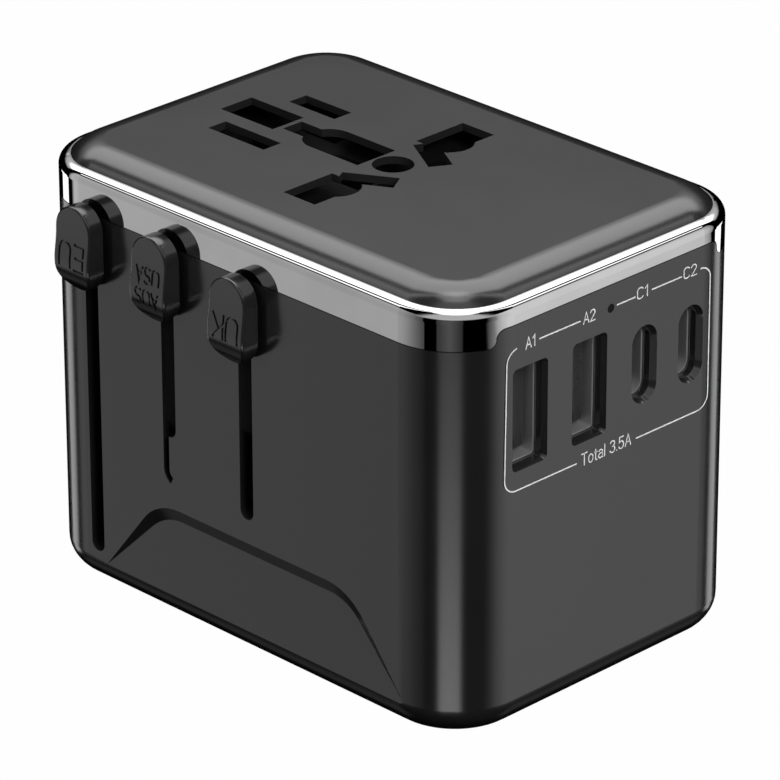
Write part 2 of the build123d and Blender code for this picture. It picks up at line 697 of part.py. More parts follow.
def arm_plate(x, button_z, bottom):
    """The upright arm behind the front wall: a window for the button's neck, and over the
    top a hooked stop that the button's spring leans on."""
    top = button_z + NECK_HEIGHT / 2 + 0.35
    with BuildSketch(Plane.XZ.offset(-ARM_BACK)) as plate:
        with Locations((x, (top + bottom) / 2)):
            Rectangle(ARM_WIDTH, top - bottom)
    extrude(plate.sketch, amount=ARM_BACK - ARM_FRONT)
    with BuildSketch(Plane.XZ.offset(-ARM_BACK - 0.5)) as window:
        with Locations((x, button_z)):
            SlotOverall(NECK_HEIGHT + 2 * FIT_GAP, NECK_WIDTH + 2 * FIT_GAP, rotation=90)
    extrude(window.sketch, amount=4, mode=Mode.SUBTRACT)
    with BuildSketch(Plane.YZ.offset(x - 1.2)) as hook:
        with BuildLine() as outline:
            Polyline((ARM_BACK - 0.1, top - 0.85), (ARM_BACK - 0.1, top), (STOP_BACK, top),
                     (STOP_BACK, button_z - 0.5), (STOP_FRONT, button_z - 0.5),
                     (STOP_FRONT, top - 0.85), (ARM_BACK - 0.1, top - 0.85))
        make_face(outline.edges())
    extrude(hook.sketch, amount=2.4)


def wiper(back, tip, y, z):
    """A bowed brass finger: its ends rest on the carriage at `back`, its middle meets the
    rail at `tip`."""
    thick = 0.25
    lean = thick / 2 if tip > back else -thick / 2
    with BuildPart() as finger:
        with BuildSketch(Plane.XZ.offset(-y - 1.0)):
            with BuildLine() as bow:
                ThreePointArc((back + lean, z - 2.6), (tip - lean, z), (back + lean, z + 2.6))
            trace(bow.line, line_width=thick)
        extrude(amount=2.0)
    return finger.part


# EU plug: round pins on a tower that reaches into recessed sockets
EU_PIN_ROOT = PIN_TIP_Z + EU_PIN_LENGTH
EU_TOWER_TOP = 37.6
EU_ARM_BOTTOM = EU_BUTTON_Z - NECK_HEIGHT / 2 - 0.1
EU_PLATE_THICK = 2.2
EU_COLUMN_TOP = EU_BUTTON_Z + 3.0
EU_COLUMN_X = (-25.6, -22.4)
EU_COLUMN_Y = (10.9, 14.2)
EU_SHOULDER_X = -18.8
EU_WIPER_Z = 46.2
EU_RAIL_FACE = PARTITION_1[0] - RAIL_THICK
column_middle = (sum(EU_COLUMN_X) / 2, sum(EU_COLUMN_Y) / 2)
column_size = (EU_COLUMN_X[1] - EU_COLUMN_X[0], EU_COLUMN_Y[1] - EU_COLUMN_Y[0])
with BuildPart() as eu_carriage:
    with BuildSketch(Plane.XY.offset(EU_PIN_ROOT)):
        with Locations((EU_PIN_X, 0)):
            SlotOverall(EU_TOWER[1], EU_TOWER[0], rotation=90)
    extrude(amount=EU_TOWER_TOP - EU_PIN_ROOT)
    fillet(eu_carriage.faces().sort_by(Axis.Z)[0].edges(), 0.8)
    # a column on each side of the socket core, with a shoulder that carries the wiper
    with BuildSketch(Plane.XY.offset(EU_TOWER_TOP)):
        for side in (1, -1):
            with Locations((column_middle[0], side * column_middle[1])):
                Rectangle(*column_size)
    extrude(amount=EU_COLUMN_TOP - EU_TOWER_TOP)
    with BuildSketch(Plane.XY.offset(EU_COLUMN_TOP - 5.6)):
        for side in (1, -1):
            with Locations(((EU_COLUMN_X[0] + EU_SHOULDER_X) / 2, side * column_middle[1])):
                Rectangle(EU_SHOULDER_X - EU_COLUMN_X[0], column_size[1])
    extrude(amount=5.6)
    with BuildSketch(Plane.XY.offset(EU_ARM_BOTTOM)):
        with Locations((column_middle[0] - 0.3, (ARM_BACK - EU_COLUMN_Y[1]) / 2)):
            Rectangle(column_size[0] + 0.6, -EU_COLUMN_Y[1] - ARM_BACK + 0.4)
    extrude(amount=EU_PLATE_THICK)
    arm_plate(EU_X, EU_BUTTON_Z, EU_ARM_BOTTOM)
    # well above the tower that leaves room for an earth pin in the socket
    with BuildSketch(Plane.XY.offset(31)):
        with Locations((EARTH_HOLE_X - 0.4, 0)):
            Rectangle(11, 7)
    extrude(amount=10, mode=Mode.SUBTRACT)
    with BuildSketch(Plane.XY.offset(EU_PIN_ROOT - 1)):
        with Locations((EU_PIN_X, EU_PIN_PITCH / 2), (EU_PIN_X, -EU_PIN_PITCH / 2)):
            Circle(EU_PIN_RADIUS)
    extrude(amount=9, mode=Mode.SUBTRACT)
save(eu_carriage, "eu_carriage")

with BuildPart() as eu_pins:
    with BuildSketch(Plane.XY.offset(PIN_TIP_Z)):
        with Locations((EU_PIN_X, EU_PIN_PITCH / 2), (EU_PIN_X, -EU_PIN_PITCH / 2)):
            Circle(EU_PIN_RADIUS)
    extrude(amount=EU_PIN_LENGTH - EU_SLEEVE_LENGTH)
    fillet(eu_pins.edges().group_by(Axis.Z)[0], 1.1)
    with BuildSketch(Plane.XY.offset(PIN_TIP_Z + EU_PIN_LENGTH - EU_SLEEVE_LENGTH)):
        with Locations((EU_PIN_X, EU_PIN_PITCH / 2), (EU_PIN_X, -EU_PIN_PITCH / 2)):
            Circle(1.5)
    extrude(amount=EU_SLEEVE_LENGTH + 7.5)
save(eu_pins, "eu_pins")

with BuildPart() as eu_pin_sleeves:
    with BuildSketch(Plane.XY.offset(PIN_TIP_Z + EU_PIN_LENGTH - EU_SLEEVE_LENGTH)):
        with Locations((EU_PIN_X, EU_PIN_PITCH / 2), (EU_PIN_X, -EU_PIN_PITCH / 2)):
            Circle(EU_SLEEVE_RADIUS)
            Circle(1.5, mode=Mode.SUBTRACT)
    extrude(amount=EU_SLEEVE_LENGTH + 1)
save(eu_pin_sleeves, "eu_pin_sleeves")

with BuildPart() as eu_wipers:
    for side in (1, -1):
        add(wiper(EU_SHOULDER_X, EU_RAIL_FACE - WIPER_GAP, side * EU_RAIL_Y, EU_WIPER_Z))
save(eu_wipers, "eu_wipers")

# US/AU plug: flat blades that swivel between parallel and angled
US_BLOCK_BOTTOM = 21.3
US_BLOCK_TOP = 26.5
US_BLOCK = (7.4, 21.2)
US_PLATE_BOTTOM = 23.2
US_WIPER_Y = 8.4
US_POCKET_FLOOR = US_X - US_BLOCK[0] / 2 + 0.4
US_RAIL_FACE = PARTITION_1[1] + RAIL_THICK
COLLAR_RADIUS = 3.35
BLADE_ROOT = 19.0
with BuildPart() as us_carriage:
    with BuildSketch(Plane.XY.offset(US_BLOCK_BOTTOM)):
        with Locations((US_X, 0)):
            RectangleRounded(*US_BLOCK, 1.5)
    extrude(amount=US_BLOCK_TOP - US_BLOCK_BOTTOM)
    with BuildSketch(Plane.XY.offset(US_PLATE_BOTTOM)):
        with Locations((US_X, (-10.2 + ARM_BACK) / 2)):
            Rectangle(ARM_WIDTH, -10.2 - ARM_BACK + 0.6)
    extrude(amount=US_BLOCK_TOP - US_PLATE_BOTTOM)
    arm_plate(US_X, US_BUTTON_Z, US_PLATE_BOTTOM)
    # pockets for the rail wipers
    with BuildSketch(Plane.XY.offset(US_BLOCK_BOTTOM)):
        for side in (1, -1):
            with Locations((US_POCKET_FLOOR - 1.0, side * US_WIPER_Y)):
                Rectangle(2.0, 2.4)
    extrude(amount=US_BLOCK_TOP - US_BLOCK_BOTTOM, mode=Mode.SUBTRACT)
    with BuildSketch(Plane.XY.offset(US_BLOCK_BOTTOM)):
        with Locations((US_X, BLADE_PITCH / 2), (US_X, -BLADE_PITCH / 2)):
            Circle(1.55)
    extrude(amount=3.6, mode=Mode.SUBTRACT)
save(us_carriage, "us_carriage")


def swivel_blade(y):
    """One flat blade with the round collar and stub shaft that it turns on."""
    with BuildPart() as blade:
        with BuildSketch(Plane.XY.offset(PIN_TIP_Z)):
            with Locations((US_X, y)):
                Rectangle(BLADE_WIDTH, BLADE_THICK)
        extrude(amount=BLADE_ROOT - PIN_TIP_Z)
        fillet(blade.edges().filter_by(Axis.Y).group_by(Axis.Z)[0], 1.6)
        chamfer(blade.edges().filter_by(Axis.X).group_by(Axis.Z)[0], 0.4)
        with BuildSketch(Plane.XZ.offset(-y - 3)):
            with Locations((US_X, PIN_TIP_Z + 4.2)):
                Circle(1.5)
        extrude(amount=6, mode=Mode.SUBTRACT)
        with BuildSketch(Plane.XY.offset(BLADE_ROOT)):
            with Locations((US_X, y)):
                Circle(COLLAR_RADIUS)
        extrude(amount=US_BLOCK_BOTTOM - BLADE_ROOT - FIT_GAP)
        with BuildSketch(Plane.XY.offset(BLADE_ROOT)):
            with Locations((US_X, y)):
                Circle(1.5)
        extrude(amount=US_BLOCK_BOTTOM - BLADE_ROOT + 3.4)
    return blade


for pole, side in (("us_line_blade", 1), ("us_neutral_blade", -1)):
    save(swivel_blade(side * BLADE_PITCH / 2), pole)

with BuildPart() as us_wipers:
    for side in (1, -1):
        add(wiper(US_POCKET_FLOOR, US_RAIL_FACE + WIPER_GAP, side * US_WIPER_Y, 23.9))
save(us_wipers, "us_wipers")

# UK plug: two live pins and a longer earth pin on an arm towards the USB end
UK_BLOCK_BOTTOM = PIN_TIP_Z + UK_EARTH_LENGTH + 2.5
UK_BLOCK_TOP = UK_BLOCK_BOTTOM + 5.0
UK_SHOULDER = PIN_TIP_Z + UK_EARTH_LENGTH
UK_BLOCK = (7.0, 30.4)
UK_PLATE_BOTTOM = 28.3
UK_BLOCK_FACE = UK_X - UK_BLOCK[0] / 2
UK_RAIL_FACE = PARTITION_2[1] + RAIL_THICK
with BuildPart() as uk_carriage:
    with BuildSketch(Plane.XY.offset(UK_BLOCK_BOTTOM)):
        with Locations((UK_X, 0)):
            RectangleRounded(*UK_BLOCK, 1.2)
        with Locations((UK_X + 13.2, 0)):
            Rectangle(26.4, 6.4)
    extrude(amount=UK_BLOCK_TOP - UK_BLOCK_BOTTOM)
    fillet(uk_carriage.edges().filter_by(Axis.Z).group_by(Axis.X)[-1], 1.5)
    with BuildSketch(Plane.XY.offset(UK_PLATE_BOTTOM)):
        with Locations((UK_X, (-14.8 + ARM_BACK) / 2)):
            Rectangle(ARM_WIDTH, -14.8 - ARM_BACK + 0.6)
    extrude(amount=UK_BLOCK_TOP - UK_PLATE_BOTTOM)
    arm_plate(UK_X, UK_BUTTON_Z, UK_PLATE_BOTTOM)
    with BuildSketch(Plane.XY.offset(UK_BLOCK_BOTTOM)):
        with Locations((UK_X, UK_PITCH / 2), (UK_X, -UK_PITCH / 2)):
            Rectangle(UK_PIN[0] - 1, UK_PIN[1] - 1)
        with Locations((UK_X + UK_EARTH_REACH, 0)):
            Rectangle(UK_EARTH_PIN[0] - 1, UK_EARTH_PIN[1] - 1)
    extrude(amount=3.5, mode=Mode.SUBTRACT)
save(uk_carriage, "uk_carriage")


def uk_live_pin(y):
    """One UK live pin: bare tip, slimmer shank where the sleeve sits, tenon in the carriage."""
    tip = UK_SHOULDER - UK_PIN_LENGTH
    with BuildPart() as pin:
        with BuildSketch(Plane.XY.offset(tip)):
            with Locations((UK_X, y)):
                Rectangle(*UK_PIN)
        extrude(amount=8.5)
        chamfer(pin.faces().sort_by(Axis.Z)[0].edges(), 0.9)
        with BuildSketch(Plane.XY.offset(tip + 8.5)):
            with Locations((UK_X, y)):
                Rectangle(UK_PIN[0] - 1, UK_PIN[1] - 1)
        extrude(amount=UK_BLOCK_BOTTOM + 3.4 - tip - 8.5)
    return pin


def uk_sleeve(y):
    """The moulded insulating sleeve round the root of a UK live pin."""
    low = UK_SHOULDER - UK_PIN_LENGTH + 8.5
    with BuildPart() as sleeve:
        with BuildSketch(Plane.XY.offset(low)):
            with Locations((UK_X, y)):
                Rectangle(*UK_PIN)
                Rectangle(UK_PIN[0] - 1, UK_PIN[1] - 1, mode=Mode.SUBTRACT)
        extrude(amount=UK_BLOCK_BOTTOM - low)
    return sleeve.part


for pole, side in (("uk_line_pin", 1), ("uk_neutral_pin", -1)):
    save(uk_live_pin(side * UK_PITCH / 2), pole)

with BuildPart() as uk_pin_sleeves:
    for side in (1, -1):
        add(uk_sleeve(side * UK_PITCH / 2))
save(uk_pin_sleeves, "uk_pin_sleeves")

with BuildPart() as uk_earth_pin:
    with BuildSketch(Plane.XY.offset(PIN_TIP_Z)):
        with Locations((UK_X + UK_EARTH_REACH, 0)):
            Rectangle(*UK_EARTH_PIN)
    extrude(amount=UK_BLOCK_BOTTOM - PIN_TIP_Z)
    chamfer(uk_earth_pin.faces().sort_by(Axis.Z)[0].edges(), 1.2)
    with BuildSketch(Plane.XY.offset(UK_BLOCK_BOTTOM)):
        with Locations((UK_X + UK_EARTH_REACH, 0)):
            Rectangle(UK_EARTH_PIN[0] - 1, UK_EARTH_PIN[1] - 1)
    extrude(amount=3.4)
save(uk_earth_pin, "uk_earth_pin")

with BuildPart() as uk_wipers:
    for side in (1, -1):
        add(wiper(UK_BLOCK_FACE, UK_RAIL_FACE + WIPER_GAP, side * RAIL_Y, 28.5))
save(uk_wipers, "uk_wipers")

# ---------------------------------------------------------------- USB board and ports
with BuildPart() as usb_board:
    with BuildSketch(Plane.YZ.offset(USB_BOARD_X)):
        with Locations((0, 41.3)):
            RectangleRounded(44.4, 18.6, 0.8)
    extrude(amount=BOARD_THICK)
save(usb_board, "usb_board")

USB_FRONT_X = END_X - SHELL_RECESS


def usb_shell(place, size, wall, corner, depth):
    """A drawn metal port shell, open at the front and closed at the back."""
    with BuildPart() as shell:
        with BuildSketch(Plane.YZ.offset(USB_FRONT_X - depth)):
            with Locations(place):
                RectangleRounded(*size, corner)
        extrude(amount=depth)
        with BuildSketch(Plane.YZ.offset(USB_FRONT_X)):
            with Locations(place):
                RectangleRounded(size[0] - 2 * wall, size[1] - 2 * wall, corner - wall + 0.02)
        extrude(amount=-depth + 0.4, mode=Mode.SUBTRACT)
    return shell


def usb_tongue(place, size, offset, front, back):
    """The moulded tongue that carries the port's contacts."""
    with BuildPart() as tongue:
        with BuildSketch(Plane.YZ.offset(back)):
            with Locations((place[0] + offset, place[1])):
                RectangleRounded(*size, min(size) * 0.2)
        extrude(amount=front - back)
        chamfer(tongue.faces().sort_by(Axis.X)[-1].edges(), min(size) * 0.15)
    return tongue


for index, place in enumerate(USB_A_PLACES, start=1):
    save(usb_shell(place, USB_A_SHELL, 0.2, 0.5, USB_A_DEPTH), f"usb_a_shell_{index}")
    tongue_back = USB_FRONT_X - USB_A_DEPTH + 0.4
    save(usb_tongue(place, (1.84, 11.0), 1.05, USB_FRONT_X - 1.0, tongue_back),
         f"usb_a_tongue_{index}")
for index, place in enumerate(USB_C_PLACES, start=1):
    save(usb_shell(place, USB_C_SHELL, 0.25, 1.55, USB_C_DEPTH), f"usb_c_shell_{index}")
    tongue_back = USB_FRONT_X - USB_C_DEPTH + 0.4
    save(usb_tongue(place, (0.7, 6.69), 0, USB_FRONT_X - 0.8, tongue_back),
         f"usb_c_tongue_{index}")

# spacer blocks carry the shorter C ports forward from the board
with BuildPart() as usb_c_risers:
    for place in USB_C_PLACES:
        with BuildSketch(Plane.YZ.offset(USB_BOARD_X + BOARD_THICK)):
            with Locations(place):
                RectangleRounded(5.2, 11.0, 0.6)
        extrude(amount=USB_FRONT_X - USB_C_DEPTH - USB_BOARD_X - BOARD_THICK)
save(usb_c_risers, "usb_c_risers")

with BuildPart() as status_led:
    with BuildSketch(Plane.YZ.offset(USB_BOARD_X + BOARD_THICK)):
        with Locations(LAMP_PLACE):
            Rectangle(2.0, 1.2)
    extrude(amount=0.8)
save(status_led, "status_led")

with BuildPart() as status_light_pipe:
    with BuildSketch(Plane.YZ.offset(USB_BOARD_X + BOARD_THICK + 0.9)):
        with Locations(LAMP_PLACE):
            Circle(LAMP_RADIUS - 0.02)
    extrude(amount=END_X - 0.12 - USB_BOARD_X - BOARD_THICK - 0.9)
save(status_light_pipe, "status_light_pipe")

with BuildPart() as charge_controller:
    with BuildSketch(Plane.YZ.offset(USB_BOARD_X)):
        with Locations((6, 44), (-8, 38)):
            Rectangle(5.0, 5.0)
        with Locations((10, 36), (-14, 45)):
            Rectangle(4.0, 6.0)
    extrude(amount=-1.0)
save(charge_controller, "charge_controller")

# ---------------------------------------------------------------- mains power board
BOARD_Z = POST_TOP
BOARD_TOP = BOARD_Z + BOARD_THICK
with BuildPart() as power_board:
    with BuildSketch(Plane.XY.offset(BOARD_Z)):
        with Locations((20.4, 0)):
            RectangleRounded(26.0, 42.6, 4.0)
        with Locations((17.2, 0)):
            Rectangle(25.0, 8.8, mode=Mode.SUBTRACT)
    extrude(amount=BOARD_THICK)
save(power_board, "power_board")

CORE_PLACE = (17.5, 12.4)
with BuildPart() as transformer_core:
    with BuildSketch(Plane.XZ.offset(-CORE_PLACE[1] - 3.0)):
        with Locations((CORE_PLACE[0], BOARD_TOP + 6.6)):
            Rectangle(15.0, 12.6)
            Rectangle(9.0, 7.0, mode=Mode.SUBTRACT)
            Rectangle(3.6, 7.2)
    extrude(amount=6.0)
save(transformer_core, "transformer_core")

with BuildPart() as transformer_winding:
    with BuildSketch(Plane.XY.offset(BOARD_TOP + 3.3)):
        with Locations(CORE_PLACE):
            RectangleRounded(8.6, 12.6, 2.0)
            Rectangle(3.9, 6.3, mode=Mode.SUBTRACT)
    extrude(amount=6.6)
save(transformer_winding, "transformer_winding")

with BuildPart() as bulk_capacitors:
    for place in ((13.2, -11.0), (24.6, -11.0)):
        with BuildSketch(Plane.XY.offset(BOARD_TOP)):
            with Locations(place):
                Circle(4.6)
        extrude(amount=15)
        with BuildSketch(Plane.XY.offset(BOARD_TOP + 1.1)):
            with Locations(place):
                Circle(5.2)
                Circle(4.3, mode=Mode.SUBTRACT)
        extrude(amount=0.7, mode=Mode.SUBTRACT)
    fillet(bulk_capacitors.edges().group_by(Axis.Z)[-1], 0.5)
save(bulk_capacitors, "bulk_capacitors")

with BuildPart() as film_capacitor:
    with BuildSketch(Plane.XY.offset(BOARD_TOP)):
        with Locations((29.2, 10.4)):
            Rectangle(5.0, 11.0)
    extrude(amount=9.5)
    fillet(film_capacitor.edges().filter_by(Axis.Z), 0.6)
save(film_capacitor, "film_capacitor")

with BuildPart() as input_choke:
    with BuildSketch(Plane.XY.offset(BOARD_TOP)):
        with Locations((31.2, -4.6)):
            Circle(1.9)
            Circle(0.8, mode=Mode.SUBTRACT)
    extrude(amount=6.0)
save(input_choke, "input_choke")

FUSE_Y, FUSE_Z = -18.9, BOARD_TOP + 3.4
with BuildPart() as line_fuse:
    with BuildSketch(Plane.YZ.offset(10.0)):
        with Locations((FUSE_Y, FUSE_Z)):
            Circle(1.8)
    extrude(amount=15.0)
    for cap_x in (10.0, 21.5):
        with BuildSketch(Plane.YZ.offset(cap_x)):
            with Locations((FUSE_Y, FUSE_Z)):
                Circle(2.0)
        extrude(amount=3.5)
save(line_fuse, "line_fuse")

with BuildPart() as fuse_clips:
    for clip_x in (10.6, 22.1):
        with BuildSketch(Plane.YZ.offset(clip_x)):
            with Locations((FUSE_Y, FUSE_Z)):
                Circle(2.4)
                Circle(2.02, mode=Mode.SUBTRACT)
                with Locations((0, 2.0)):
                    Rectangle(2.6, 2.4, mode=Mode.SUBTRACT)
            with Locations((FUSE_Y, (BOARD_TOP + FUSE_Z - 2.1) / 2)):
                Rectangle(1.4, FUSE_Z - 2.1 - BOARD_TOP)
        extrude(amount=2.2)
save(fuse_clips, "fuse_clips")

with BuildPart() as rectifier:
    with BuildSketch(Plane.XY.offset(BOARD_TOP)):
        with Locations((10.2, 6.4)):
            Rectangle(2.4, 3.2)
        with Locations((30.6, -12.6)):
            Rectangle(2.6, 4.6)
    extrude(amount=2.4)
save(rectifier, "rectifier")
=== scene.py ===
"""Finish and presentation of a universal travel adapter.

The solid pieces come ready made in model.glb. This file gives every one of them its surface,
adds the white print and the plated contacts of the USB ports, and sets up the table, the light
and the camera.
"""

import math

import bpy
from mathutils import Matrix, Vector


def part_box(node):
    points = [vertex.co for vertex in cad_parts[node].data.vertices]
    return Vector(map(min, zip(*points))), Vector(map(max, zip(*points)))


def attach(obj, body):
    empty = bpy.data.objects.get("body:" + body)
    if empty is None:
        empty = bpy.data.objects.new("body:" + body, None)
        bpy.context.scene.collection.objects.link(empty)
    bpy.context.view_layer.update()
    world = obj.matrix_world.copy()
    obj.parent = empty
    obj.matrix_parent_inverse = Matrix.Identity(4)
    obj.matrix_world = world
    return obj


bl_info = {
    "name": "Travel Adapter Finish",
    "version": (1, 0, 0),
    "blender": (4, 5, 0),
    "location": "View3D > Sidebar > Adapter",
    "description": "Surfaces, port print, port contacts and studio for a travel adapter",
    "category": "Object",
}

MM = 0.001
WHITE = (1.0, 1.0, 1.0)

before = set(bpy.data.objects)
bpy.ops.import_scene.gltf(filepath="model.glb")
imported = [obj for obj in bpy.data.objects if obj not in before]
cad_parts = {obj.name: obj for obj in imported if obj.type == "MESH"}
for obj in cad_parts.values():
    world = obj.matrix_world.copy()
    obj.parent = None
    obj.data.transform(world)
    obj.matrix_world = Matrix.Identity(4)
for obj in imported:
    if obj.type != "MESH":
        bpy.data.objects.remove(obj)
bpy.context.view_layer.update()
PORT_FACE_X = Vector(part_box("housing")[1]).x
BODY_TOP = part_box("socket_cover")[1][2]
SHELL_FRONT_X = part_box("usb_a_shell_1")[1][0]


# ---------------------------------------------------------------- shader maths
class Socket:
    """An output socket that works in Python expressions and adds the Math nodes it needs."""

    def __init__(self, bench, link):
        self.bench = bench
        self.link = link

    def maths(self, operation, *values):
        return self.bench.node("ShaderNodeMath", {"operation": operation},
                               {place: value for place, value in enumerate(values)})

    def __add__(self, other):
        return self.maths("ADD", self, other)

    __radd__ = __add__

    def __mul__(self, other):
        return self.maths("MULTIPLY", self, other)

    __rmul__ = __mul__

    def __sub__(self, other):
        return self.maths("SUBTRACT", self, other)

    def __rsub__(self, other):
        return self.maths("SUBTRACT", other, self)

    def __truediv__(self, other):
        return self.maths("DIVIDE", self, other)

    def smooth(self, low, high):
        """0 below low, 1 above high, and an even ease between them."""
        return self.bench.node("ShaderNodeMapRange", {"interpolation_type": "SMOOTHSTEP"},
                               {"Value": self, "From Min": low, "From Max": high})

    def band(self, low, high, soft):
        """1 between low and high, with soft edges."""
        return self.smooth(low - soft, low + soft) * (1 - self.smooth(high - soft, high + soft))


class Bench:
    """Makes the nodes of one material or of the world."""

    def __init__(self, tree):
        self.tree = tree
        tree.nodes.clear()

    def node(self, kind, settings=None, values=None, out=0):
        """One node: its settings first, then the values or links of its sockets."""
        made = self.tree.nodes.new(kind)
        for name, setting in (settings or {}).items():
            if name == "stops":
                stops = made.color_ramp.elements
                stops.remove(stops[1])
                stops[0].position = setting[0][0]
                stops[0].color = (*setting[0][1], 1.0)
                for place, colour in setting[1:]:
                    stops.new(place).color = (*colour, 1.0)
            else:
                setattr(made, name, setting)
        for place, value in (values or {}).items():
            if isinstance(value, Socket):
                self.tree.links.new(value.link, made.inputs[place])
            elif isinstance(value, tuple) and len(value) == 3 and \
                    len(made.inputs[place].default_value) == 4:
                made.inputs[place].default_value = (*value, 1.0)
            else:
                made.inputs[place].default_value = value
        return Socket(self, made.outputs[out]) if len(made.outputs) else None

    def place(self):
        """Position on the piece, in metres."""
        return self.node("ShaderNodeTexCoord", out="Object")

    def along(self, axis):
        """Position on the piece along one axis, in metres."""
        return self.node("ShaderNodeSeparateXYZ", {}, {"Vector": self.place()}, out=axis)

    def noise(self, scale, detail=3.0, stretch=None):
        """Soft random variation; scale is the number of grains in a metre.

        A larger stretch along an axis makes the grains shorter that way.
        """
        where = self.place()
        if stretch:
            where = self.node("ShaderNodeVectorMath", {"operation": "MULTIPLY"},
                              {0: where, 1: stretch})
        return self.node("ShaderNodeTexNoise", {},
                         {"Vector": where, "Scale": scale, "Detail": detail})

    def blend(self, factor, first, second):
        """A colour mixed from two colours."""
        return self.node("ShaderNodeMix", {"data_type": "RGBA"},
                         {"Factor": factor, 6: first, 7: second}, out=2)

    def bump(self, height, strength, distance):
        """A surface normal raised by a height."""
        return self.node("ShaderNodeBump", {},
                         {"Height": height, "Strength": strength, "Distance": distance})


def finish_material(name, shader_values):
    """A material whose Principled shader takes the values that a builder function returns."""
    material = bpy.data.materials.new(name)
    material.use_nodes = True
    bench = Bench(material.node_tree)
    shader = bench.node("ShaderNodeBsdfPrincipled", {}, shader_values(bench))
    bench.node("ShaderNodeOutputMaterial", {}, {"Surface": shader})
    return material


# ---------------------------------------------------------------- finishes
GLOSSY = 1.9                       # index of refraction of the polished outer plastic
HAIRLINES = 900.0                  # fine scratches in a metre of metal
HAIR_DEPTH = 0.002 * MM
SHELL_SHADE_EDGE = (0.28 * MM, 0.12 * MM)    # where the painted shade inside a port shell gives way to bare steel, behind its front
TAPE_TURNS_PER_METRE = 1500.0

# How hairlines are squeezed along x, y and z: they run long where the number is smallest.
ALONG_X = (1.0, 12.0, 12.0)
ALONG_Z = (14.0, 14.0, 1.0)
ALONG_SPRING = (10.0, 10.0, 1.0)
ROUND_THE_RING = (1.0, 1.0, 12.0)
EVEN = (6.0, 6.0, 6.0)


def moulded(colour, roughness, grain=5200.0, grain_depth=0.004, gloss=1.5):
    """Moulded plastic: fine spark texture, faint flow mottling and patchy polish."""
    def values(bench):
        mottle = bench.noise(90.0, 2.0)
        texture = bench.noise(grain, 2.0)
        tint = tuple(part * 1.12 for part in colour)
        return {
            "Base Color": bench.blend(mottle.smooth(0.35, 0.65), colour, tint),
            "Roughness": roughness + (mottle - 0.5) * 0.05 + (texture - 0.5) * 0.04,
            "IOR": gloss,
            "Normal": bench.bump(texture, 0.12, grain_depth * MM),
        }
    return values


def plated(colour, roughness, brush):
    """Plated or bare metal, with hairlines along the direction it was drawn in."""
    def values(bench):
        hairs = bench.noise(HAIRLINES, 3.0, brush)
        clouds = bench.noise(120.0, 2.0)
        shade = tuple(part * 0.93 for part in colour)
        return {
            "Base Color": bench.blend(clouds.smooth(0.3, 0.7), colour, shade),
            "Metallic": 1.0,
            "Roughness": roughness + (hairs - 0.5) * 0.5 * roughness + (clouds - 0.5) * 0.02,
            "Normal": bench.bump(hairs, 0.05, HAIR_DEPTH),
        }
    return values


def circuit_board(bench):
    """Green solder mask over a copper pattern, with bare pads."""
    cells = bench.node("ShaderNodeTexBrick", {"offset": 0.37, "squash": 1.6, "squash_frequency": 3},
                       {"Vector": bench.place(), "Scale": 240.0, "Mortar Size": 0.035,
                        "Brick Width": 0.9, "Row Height": 0.42}, out="Fac")
    pads = bench.node("ShaderNodeTexVoronoi", {"feature": "F1"},
                      {"Vector": bench.place(), "Scale": 420.0, "Randomness": 0.35})
    pad = 1 - pads.smooth(0.16, 0.2)
    mask = bench.blend(cells, (0.012, 0.09, 0.035), (0.02, 0.15, 0.05))
    return {
        "Base Color": bench.blend(pad, mask, (0.62, 0.60, 0.55)),
        "Metallic": pad * 0.9,
        "Roughness": 0.3 - pad * 0.08,
        "Normal": bench.bump(cells + pad, 0.3, 0.02 * MM),
    }


def wound_tape(bench):
    """Yellow film tape with the edges of its turns."""
    height = bench.along("Z")
    turns = height.maths("FRACT", height * TAPE_TURNS_PER_METRE)
    edge = turns.band(0.0, 0.12, 0.05)
    return {
        "Base Color": bench.blend(edge, (0.72, 0.52, 0.06), (0.48, 0.30, 0.03)),
        "Roughness": 0.25 + bench.noise(700.0) * 0.15,
        "Normal": bench.bump(turns, 0.3, 0.03 * MM),
    }


def white_ink(bench):
    """Pad-printed ink, a little thin in places, with a faint painted glow."""
    cover = bench.noise(2600.0, 2.0)
    return {
        "Base Color": bench.blend(cover.smooth(0.35, 0.6), (0.30, 0.30, 0.30), (0.42, 0.42, 0.42)),
        "Roughness": 0.5 + (cover - 0.5) * 0.1,
        # painted glow: the ink gives off a little white light of its own
        "Emission Color": WHITE,
        "Emission Strength": 0.05,
        "Normal": bench.bump(cover, 0.1, 0.004 * MM),
    }


def clear_rod(bench):
    """The dark end of the light rod with nothing lit behind it."""
    cloud = bench.noise(800.0)
    return {
        "Base Color": bench.blend(cloud, (0.003, 0.003, 0.003), (0.006, 0.006, 0.006)),
        "Roughness": 0.4 + cloud * 0.1,
        "IOR": 1.2,
    }


def port_shell(bench):
    """Drawn steel shell: bare steel at the mouth, and painted shade, near-black, deeper inside."""
    shade_fade_from, shade_fade_to = (SHELL_FRONT_X - depth for depth in SHELL_SHADE_EDGE)
    mouth = bench.along("X").smooth(shade_fade_from, shade_fade_to)
    hairs = bench.noise(HAIRLINES, 3.0, ALONG_X)
    return {
        # painted shade: behind the front edge the shell's colour turns near-black for the shade
        # inside the port
        "Base Color": bench.blend(mouth, (0.003, 0.003, 0.003), (0.92, 0.92, 0.93)),
        "Metallic": mouth * 0.15,
        "Roughness": 0.3 + (hairs - 0.5) * 0.1,
        "IOR": 1.15,
        "Normal": bench.bump(hairs, 0.05, HAIR_DEPTH),
    }


